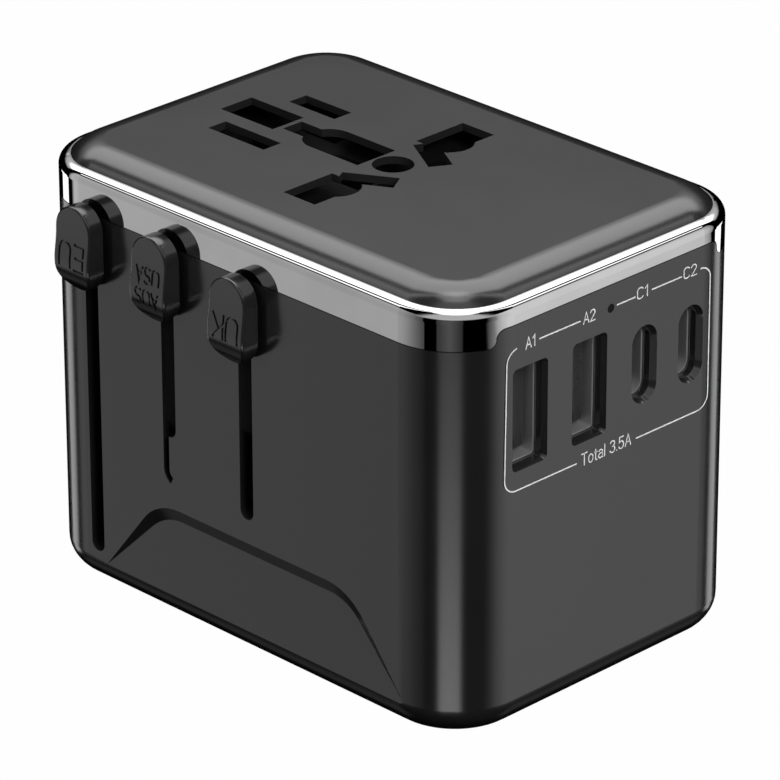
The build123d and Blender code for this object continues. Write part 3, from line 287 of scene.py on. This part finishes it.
# Moulded plastic takes a colour, a roughness, the grains in a metre and their depth in mm.
# Plated metal takes a colour, a roughness and the squeeze of its hairlines.
FINISHES = {
    "satin_black": moulded((0.005, 0.005, 0.0052), 0.18, gloss=GLOSSY),
    "lid_black": moulded((0.006, 0.006, 0.0062), 0.20, gloss=GLOSSY),
    "button_black": moulded((0.005, 0.005, 0.0052), 0.17, 7000.0, 0.002, GLOSSY),
    "inner_black": moulded((0.003, 0.003, 0.003), 0.36, 2600.0, 0.012, 1.1),
    "port_black": moulded((0.010, 0.010, 0.010), 0.28, 3600.0, 0.006, 1.6),
    "nylon_grey": moulded((0.055, 0.055, 0.058), 0.45, 2600.0, 0.012),
    "component_black": moulded((0.018, 0.018, 0.019), 0.38, 3000.0, 0.01),
    "ferrite_grey": moulded((0.07, 0.066, 0.062), 0.6, 1800.0, 0.03),
    "film_blue": moulded((0.03, 0.07, 0.26), 0.28, 2200.0, 0.01),
    "ceramic_white": moulded((0.70, 0.68, 0.62), 0.2, 1500.0, 0.005),
    "lamp_cream": moulded((0.72, 0.70, 0.55), 0.3, 3000.0, 0.005),
    "trim_chrome": plated((0.90, 0.90, 0.91), 0.02, ROUND_THE_RING),
    "contact_brass": plated((0.78, 0.56, 0.24), 0.22, ALONG_Z),
    "contact_gold": plated((0.95, 0.68, 0.28), 0.16, ALONG_X),
    "pin_nickel": plated((0.76, 0.73, 0.68), 0.16, ALONG_Z),
    "spring_steel": plated((0.58, 0.58, 0.60), 0.24, ALONG_SPRING),
    "shell_steel": port_shell,
    "screw_black": plated((0.07, 0.07, 0.075), 0.32, EVEN),
    "board_green": circuit_board,
    "tape_yellow": wound_tape,
    "print_white": white_ink,
    "lamp_rod": clear_rod,
}

# The ready-made pieces that take each finish.
COATED = {
    "satin_black": ("housing", "base_plate"),
    "lid_black": ("socket_cover",),
    "button_black": ("eu_button", "us_button", "uk_button"),
    "inner_black": ("socket_plate", "socket_core", "safety_shutter", "guide_frame"),
    "nylon_grey": ("eu_carriage", "us_carriage", "uk_carriage", "eu_pin_sleeves", "uk_pin_sleeves",
                   "usb_c_risers"),
    "port_black": ("usb_a_tongue_1", "usb_a_tongue_2", "usb_c_tongue_1", "usb_c_tongue_2"),
    "trim_chrome": ("trim_ring",),
    "contact_brass": ("line_contact", "neutral_contact", "earth_contact", "line_rails",
                      "neutral_rails", "eu_wipers", "us_wipers", "uk_wipers", "fuse_clips"),
    "pin_nickel": ("eu_pins", "us_line_blade", "us_neutral_blade", "uk_line_pin",
                   "uk_neutral_pin", "uk_earth_pin"),
    "spring_steel": ("shutter_spring", "eu_button_spring", "us_button_spring",
                     "uk_button_spring"),
    "shell_steel": ("usb_a_shell_1", "usb_a_shell_2", "usb_c_shell_1", "usb_c_shell_2"),
    "screw_black": ("base_screws",),
    "board_green": ("usb_board", "power_board"),
    "component_black": ("charge_controller", "bulk_capacitors", "rectifier"),
    "ferrite_grey": ("transformer_core", "input_choke"),
    "tape_yellow": ("transformer_winding",),
    "film_blue": ("film_capacitor",),
    "ceramic_white": ("line_fuse",),
    "lamp_cream": ("status_led",),
    "lamp_rod": ("status_light_pipe",),
}


def finish(name):
    """The named finish, made the first time it is asked for."""
    return bpy.data.materials.get(name) or finish_material(name, FINISHES[name])


def coat(piece, name):
    """Give a piece one finish all over."""
    material = finish(name)
    if not piece.material_slots:
        piece.data.materials.append(material)
    for part in piece.material_slots:
        part.material = material


# ---------------------------------------------------------------- mesh helpers
MITRE_LIMIT = 0.5                  # keeps the outer corner of a sharp bend short
CAP_SPREAD = 60                    # degrees each side that a rounded stroke end covers


def new_piece(name, points, faces, finish_name, body):
    """A mesh object in the open scene, with its finish, riding on a body."""
    mesh = bpy.data.meshes.new(name)
    mesh.from_pydata(points, [], faces)
    mesh.validate()
    mesh.update()
    piece = bpy.data.objects.new(name, mesh)
    bpy.context.scene.collection.objects.link(piece)
    coat(piece, finish_name)
    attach(piece, body)
    return piece


def arc(centre, radius, start, end, steps=10):
    """Points along an arc, angles in degrees, counter-clockwise when end is larger."""
    angles = (math.radians(start + (end - start) * step / steps) for step in range(steps + 1))
    return [(centre[0] + radius[0] * math.cos(angle), centre[1] + radius[1] * math.sin(angle))
            for angle in angles]


def ribbon(line, width, points, faces, place):
    """A flat stroke of even width along a line, mitred at the corners, rounded at the ends."""
    line = [Vector(point) for point in line]
    half = width / 2
    start = len(points)
    for index, point in enumerate(line):
        before = (point - line[index - 1]).normalized() if index else None
        after = (line[index + 1] - point).normalized() if index + 1 < len(line) else None
        before, after = before or after, after or before
        along = (before + after).normalized()
        across = Vector((-along.y, along.x))
        reach = half / max(MITRE_LIMIT, across.dot(Vector((-after.y, after.x))))
        points.extend((place(point + across * reach), place(point - across * reach)))
    last = len(points) - 2
    for corner in range(start, last, 2):
        faces.append((corner, corner + 1, corner + 3, corner + 2))
    for end, inner, pair in ((line[-1], line[-2], (last, last + 1)),
                             (line[0], line[1], (start + 1, start))):
        along = (end - inner).normalized()
        turn = math.degrees(math.atan2(along.y, along.x))
        cap = [Vector(spot) for spot in arc(end, (half, half), turn - CAP_SPREAD,
                                            turn + CAP_SPREAD, 4)]
        first = len(points)
        points.extend(place(spot) for spot in cap)
        faces.append((*pair, *range(first, first + len(cap))))


# ---------------------------------------------------------------- port print
# Width and strokes of each printed sign, in a cell one unit high.
SIGNS = {
    "A": (0.56, [[(0, 0), (0.28, 1), (0.56, 0)], [(0.11, 0.33), (0.45, 0.33)]]),
    "C": (0.54, [arc((0.27, 0.73), (0.27, 0.27), 25, 180)
                 + arc((0.27, 0.27), (0.27, 0.27), 180, 335)]),
    "T": (0.56, [[(0, 1), (0.56, 1)], [(0.28, 1), (0.28, 0)]]),
    "o": (0.44, [arc((0.22, 0.35), (0.22, 0.35), 0, 360, 20)]),
    "t": (0.26, [[(0.11, 0.9), (0.11, 0.14)] + arc((0.21, 0.12), (0.1, 0.12), 180, 270, 5)
                 + [(0.26, 0.0)], [(0, 0.68), (0.25, 0.68)]]),
    "a": (0.42, [arc((0.2, 0.5), (0.2, 0.2), 150, 0, 8) + [(0.4, 0.0)],
                 [(0.4, 0.42)] + arc((0.19, 0.2), (0.19, 0.2), 90, 270, 8) + [(0.4, 0.12)]]),
    "l": (0.06, [[(0.03, 1), (0.03, 0)]]),
    "1": (0.3, [[(0, 0.78), (0.2, 1), (0.2, 0)]]),
    "2": (0.5, [arc((0.25, 0.74), (0.24, 0.26), 170, -25) + [(0.02, 0.0), (0.5, 0.0)]]),
    "3": (0.5, [arc((0.24, 0.76), (0.22, 0.24), 160, -90)
                + arc((0.24, 0.27), (0.25, 0.27), 90, -160)]),
    "5": (0.5, [[(0.46, 1), (0.08, 1), (0.04, 0.56)]
                + arc((0.24, 0.32), (0.25, 0.32), 115, -155)]),
    ".": (0.08, [[(0.04, 0.0), (0.04, 0.04)]]),
    " ": (0.2, []),
}
SIGN_GAP = 0.16

# The port frame on the end face: lines through y, z positions in mm, broken for the signs.
FRAME_LINES = (
    arc((-15.35, 47.4), (1.85, 1.78), 99, 174)[:-1] + [(-17.2, 47.6), (-17.42, 33.4)]
    + arc((-15.6, 32.95), (1.85, 1.85), 180, 268) + [(-5.45, 31.1)],
    [(4.75, 30.95), (15.3, 30.95)] + arc((15.3, 32.75), (1.82, 1.8), 275, 355)
    + [(17.1, 47.7)] + arc((15.35, 47.9), (1.75, 1.5), 5, 88),
    [(-11.85, 49.2), (-5.15, 49.2)],
    [(1.1, 49.3), (4.12, 49.3)],
    [(7.05, 49.37), (12.05, 49.37)],
)

# Each run of signs: text, start and end along y, foot along z, height, all in mm.
PORT_SIGNS = (
    ("A1", -14.1, -12.5, 48.6, 1.38),
    ("A2", -4.55, -2.65, 48.65, 1.38),
    ("C1", 4.5, 6.4, 48.85, 1.38),
    ("C2", 12.5, 14.65, 48.92, 1.38),
    ("Total 3.5A", -4.58, 3.8, 30.5, 1.5),
)


def write(text, start, end, base, height, width, points, faces, place):
    """Print a run of signs on the line at base, spread evenly from start to end."""
    natural = sum(SIGNS[sign][0] for sign in text) + SIGN_GAP * (len(text) - 1)
    stretch = (end - start) / (natural * height)
    pen = 0.0
    for sign in text:
        wide, strokes = SIGNS[sign]
        for stroke in strokes:
            line = [(start + (pen + x) * height * stretch, base + y * height) for x, y in stroke]
            ribbon(line, width, points, faces, place)
        pen += wide + SIGN_GAP


# ---------------------------------------------------------------- port contacts
# Rows of contacts: tongue, strips in a row, then strip width, pitch and length in mm.
CONTACT_ROWS = (("usb_a_tongue", 4, 1.0, 2.4, 9.0), ("usb_c_tongue", 8, 0.24, 0.62, 4.2))
CONTACT_SETBACK = 0.45 * MM        # the strips end this far behind the tongue's front
CONTACT_RISE = 0.06 * MM


# ---------------------------------------------------------------- settings
class PrintSizes(bpy.types.PropertyGroup):
    """Sizes of the white print round the ports."""

    line_width: bpy.props.FloatProperty(
        name="Line width", description="Width of the printed frame line",
        default=0.18 * MM, unit="LENGTH")
    letter_width: bpy.props.FloatProperty(
        name="Letter stroke", description="Width of the printed letter strokes",
        default=0.155 * MM, unit="LENGTH")
    lift: bpy.props.FloatProperty(
        name="Ink height", description="How far the ink stands on the plastic",
        default=0.012 * MM, unit="LENGTH")


class StudioSettings(bpy.types.PropertyGroup):
    """Light, table and camera."""

    light_level: bpy.props.FloatProperty(
        name="Light level", description="Strength of the room and of the lamps",
        default=1.0, min=0.0, subtype="FACTOR")
    table_colour: bpy.props.FloatVectorProperty(
        name="Table colour", description="Colour of the table top", subtype="COLOR",
        default=(0.99, 0.99, 0.99), min=0.0, max=1.0)
    table_drop: bpy.props.FloatProperty(
        name="Table drop", description="Room left under the base for the plug pins",
        default=24.5 * MM, unit="LENGTH")
    focal_length: bpy.props.FloatProperty(
        name="Focal length", description="Focal length of the camera's lens",
        default=258.0, unit="CAMERA")


# ---------------------------------------------------------------- operators
class ADAPTER_OT_coat_pieces(bpy.types.Operator):
    """Give every ready-made piece its finish"""

    bl_idname = "adapter.coat_pieces"
    bl_label = "Coat the Pieces"

    def execute(self, context):
        left = set(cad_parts)
        for finish_name, names in COATED.items():
            for name in names:
                coat(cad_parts[name], finish_name)
                left.discard(name)
        if left:
            raise RuntimeError(f"pieces without a finish: {sorted(left)}")
        return {"FINISHED"}


class ADAPTER_OT_print_ports(bpy.types.Operator):
    """Print the white frame and the port numbers on the end face"""

    bl_idname = "adapter.print_ports"
    bl_label = "Print the Port Frame"

    def execute(self, context):
        sizes = context.scene.adapter_print

        def on_face(point):
            return (PORT_FACE_X + sizes.lift, point[0] * MM, point[1] * MM)

        points, faces = [], []
        for line in FRAME_LINES:
            ribbon(line, sizes.line_width / MM, points, faces, on_face)
        new_piece("port_frame_print", points, faces, "print_white", "case")

        points, faces = [], []
        for run in PORT_SIGNS:
            write(*run, sizes.letter_width / MM, points, faces, on_face)
        new_piece("port_number_print", points, faces, "print_white", "case")
        return {"FINISHED"}


class ADAPTER_OT_plate_contacts(bpy.types.Operator):
    """Lay the gold-plated contacts on the USB tongues"""

    bl_idname = "adapter.plate_contacts"
    bl_label = "Plate the USB Contacts"

    def execute(self, context):
        for row in CONTACT_ROWS:
            self.lay(*row)
        return {"FINISHED"}

    def lay(self, family, count, width, pitch, length):
        """One row of strips on each tongue of a family, with a rounded nose to every strip."""
        half = width / 2 * MM
        for number in (1, 2):
            low, high = (Vector(corner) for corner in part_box(f"{family}_{number}"))
            middle = (low.z + high.z) / 2
            nose = high.x - CONTACT_SETBACK
            outline = [(nose - length * MM, -half), (nose - half, -half)]
            outline += [(nose - half + half * math.sin(math.radians(turn)),
                         -half * math.cos(math.radians(turn))) for turn in range(30, 180, 30)]
            outline += [(nose - half, half), (nose - length * MM, half)]
            corners = len(outline)
            points, faces = [], []
            for index in range(count):
                z = middle + (index - (count - 1) / 2) * pitch * MM
                foot = len(points)
                top = foot + corners
                for rise in (0.0, CONTACT_RISE):
                    points.extend((x, low.y - rise, z + dz) for x, dz in outline)
                faces.append(tuple(range(top, top + corners)))
                for step in range(corners):
                    after = (step + 1) % corners
                    faces.append((foot + step, foot + after, top + after, top + step))
            new_piece(f"{family}_{number}_contacts", points, faces, "contact_gold", "case")


# Brightness of the room round the table, seen level: degrees from the front corner, brightness.
WALL_LEVELS = (
    (-180, 0.0), (-109, 0.0), (-106, 0.3), (-103, 0.43), (-90, 0.33), (-74, 0.23), (-61, 0.138),
    (-49, 0.07), (-45.5, 0.06), (-45, 0.0), (-27.5, 0.0), (-27, 0.032), (-9, 0.075), (9, 0.024),
    (10, 0.0), (42, 0.0), (48, 0.074), (54, 0.153), (60, 0.33), (68, 0.45), (80, 0.57),
    (90, 0.57), (99, 0.38), (107, 0.2), (108, 0.0), (180, 0.0),
)


# Lamps: name, position in metres, side in metres, power in watts.
LAMPS = (
    ("key_light", (0.55, -0.12, 0.45), 0.35, 10.0),
    ("front_light", (-0.15, -0.6, 0.35), 0.4, 3.2),
    ("top_light", (-0.1, 0.15, 0.7), 0.5, 5.0),
)
TABLE_RADIUS = 3.0

# Camera: degrees of turn, rise and roll, then metres of distance and of shift across and up.
CAMERA_ANGLES = (45.306, 25.178, -0.126)
CAMERA_DISTANCE = 0.6781
CAMERA_SHIFT = (0.154 * MM, -1.505 * MM)


def light_world(level):
    """A white room seen directly, and soft panels, gaps and cards seen in the gloss."""
    world = bpy.data.worlds.new("studio")
    bpy.context.scene.world = world
    world.use_nodes = True
    bench = Bench(world.node_tree)
    way = bench.node("ShaderNodeTexCoord", out="Generated")
    east, north, up = (bench.node("ShaderNodeSeparateXYZ", {}, {"Vector": way}, out=axis)
                       for axis in range(3))
    turn = way.maths("ARCTAN2", east + north, east - north) * math.degrees(1)
    aside = turn.maths("ABSOLUTE", turn)
    walls = bench.node("ShaderNodeValToRGB",
                       {"stops": [(0.5 + angle / 360, (shade, shade, shade))
                                  for angle, shade in WALL_LEVELS]},
                       {"Fac": turn / 360 + 0.5})
    # Each panel is bounded by degrees round the room and by the sine of its height.
    wall_band = up.smooth(-0.60, -0.50) * (1 - up.smooth(0.51, 0.53)) * 1.12
    low_cards = aside.band(119.5, 139.0, 0.8) * 1.3 * up.band(-0.56, -0.285, 0.012)
    corner_card = turn.band(-24.0, 8.0, 4.0) * up.band(-0.57, -0.47, 0.01) * 2.6
    under = aside.band(100.0, 128.0, 6.0) * up.band(-0.84, -0.64, 0.04) * 0.09
    back = aside.smooth(124.0, 127.0)
    ceiling = back * up.smooth(0.46, 0.60) * 1.6 + up.smooth(0.95, 0.97) * 1.2
    side_line = aside.band(100.0, 111.5, 0.8) * up.smooth(0.605, 0.625) * 1.3
    fill = (back + 1 - aside.smooth(40.0, 65.0)) * (up.smooth(0.30, 0.44) * 0.45)
    glow = walls * wall_band + low_cards + corner_card + under + ceiling + side_line + fill
    colour = bench.node("ShaderNodeCombineColor", {}, {0: glow, 1: glow, 2: glow})
    seen = bench.node("ShaderNodeBackground", {}, {"Color": WHITE, "Strength": 1.0})
    felt = bench.node("ShaderNodeBackground", {}, {"Color": colour, "Strength": level})
    direct = bench.node("ShaderNodeLightPath", out="Is Camera Ray")
    mixed = bench.node("ShaderNodeMixShader", {}, {"Fac": direct, 1: felt, 2: seen})
    bench.node("ShaderNodeOutputWorld", {}, {"Surface": mixed})


def soft_light(name, place, aim, size, watts):
    """A large soft lamp that lights surfaces without showing in their gloss."""
    data = bpy.data.lights.new(name, "AREA")
    data.shape = "SQUARE"
    data.size = size
    data.energy = watts
    lamp = bpy.data.objects.new(name, data)
    bpy.context.scene.collection.objects.link(lamp)
    lamp.location = place
    lamp.rotation_euler = (Vector(place) - Vector(aim)).to_track_quat("Z", "Y").to_euler()
    lamp.visible_glossy = False
    lamp.visible_camera = False


class ADAPTER_OT_set_stage(bpy.types.Operator):
    """Lay the table and set the light and the camera"""

    bl_idname = "adapter.set_stage"
    bl_label = "Set the Stage"

    def execute(self, context):
        studio = context.scene.adapter_studio
        light_world(studio.light_level)
        middle = Vector((0.0, 0.0, BODY_TOP / 2))
        for name, place, side, watts in LAMPS:
            soft_light(name, place, middle, side, watts * studio.light_level)
        self.lay_table(studio.table_colour, studio.table_drop)
        self.aim_camera(context, middle, studio.focal_length)
        context.scene.view_settings.view_transform = "Standard"
        return {"FINISHED"}

    def lay_table(self, colour, drop):
        """A round white table top, low enough to clear the plug pins when they are out.

        It shows only from above and stays out of the gloss.
        """
        rim = arc((0.0, 0.0), (TABLE_RADIUS, TABLE_RADIUS), 0, 360, 96)[:-1]
        points = [(x, y, -drop) for x, y in rim]
        mesh = bpy.data.meshes.new("table_top")
        mesh.from_pydata(points, [], [tuple(range(len(points)))])
        table = bpy.data.objects.new("table_top", mesh)
        bpy.context.scene.collection.objects.link(table)
        material = bpy.data.materials.new("table_white")
        material.use_nodes = True
        bench = Bench(material.node_tree)
        paper = bench.node("ShaderNodeEmission", {}, {"Color": tuple(colour), "Strength": 1.0})
        clear = bench.node("ShaderNodeBsdfTransparent", {}, {})
        direct = bench.node("ShaderNodeLightPath", out="Is Camera Ray")
        under = bench.node("ShaderNodeNewGeometry", out="Backfacing")
        mixed = bench.node("ShaderNodeMixShader", {},
                           {"Fac": direct * (1 - under), 1: clear, 2: paper})
        bench.node("ShaderNodeOutputMaterial", {}, {"Surface": mixed})
        mesh.materials.append(material)

    def aim_camera(self, context, middle, focal_length):
        """Camera above the corner between the sliders and the ports."""
        turn, rise, roll = (math.radians(angle) for angle in CAMERA_ANGLES)
        back = Vector((math.sin(turn) * math.cos(rise), -math.cos(turn) * math.cos(rise),
                       math.sin(rise)))
        level = Vector((math.cos(turn), math.sin(turn), 0.0))
        above = back.cross(level)
        across = math.cos(roll) * level + math.sin(roll) * above
        upward = -math.sin(roll) * level + math.cos(roll) * above
        data = bpy.data.cameras.new("camera")
        data.lens = focal_length
        data.sensor_width = 36.0
        data.clip_start = 0.01
        camera = bpy.data.objects.new("camera", data)
        context.scene.collection.objects.link(camera)
        place = (middle + back * CAMERA_DISTANCE + across * CAMERA_SHIFT[0]
                 + upward * CAMERA_SHIFT[1])
        camera.matrix_world = Matrix.Translation(place) @ Matrix(
            (across, upward, back)).transposed().to_4x4()
        context.scene.camera = camera


class ADAPTER_PT_finish(bpy.types.Panel):
    """Sizes and steps of the adapter's finish"""

    bl_idname = "ADAPTER_PT_finish"
    bl_label = "Travel Adapter"
    bl_space_type = "VIEW_3D"
    bl_region_type = "UI"
    bl_category = "Adapter"

    def draw(self, context):
        layout = self.layout
        for group, names in (
            (context.scene.adapter_print, ("line_width", "letter_width", "lift")),
            (context.scene.adapter_studio, ("light_level", "table_colour", "table_drop",
                                             "focal_length")),
        ):
            box = layout.box()
            for name in names:
                box.prop(group, name)
        for step in STEPS:
            layout.operator(step.bl_idname)


STEPS = (ADAPTER_OT_coat_pieces, ADAPTER_OT_print_ports, ADAPTER_OT_plate_contacts,
         ADAPTER_OT_set_stage)
CLASSES = (PrintSizes, StudioSettings, *STEPS, ADAPTER_PT_finish)


def register():
    for made in CLASSES:
        bpy.utils.register_class(made)
    bpy.types.Scene.adapter_print = bpy.props.PointerProperty(type=PrintSizes)
    bpy.types.Scene.adapter_studio = bpy.props.PointerProperty(type=StudioSettings)


def unregister():
    del bpy.types.Scene.adapter_studio
    del bpy.types.Scene.adapter_print
    for made in reversed(CLASSES):
        bpy.utils.unregister_class(made)


def main():
    """Run every step."""
    register()
    bpy.ops.adapter.coat_pieces()
    bpy.ops.adapter.print_ports()
    bpy.ops.adapter.plate_contacts()
    bpy.ops.adapter.set_stage()


if __name__ == "__main__":
    main()
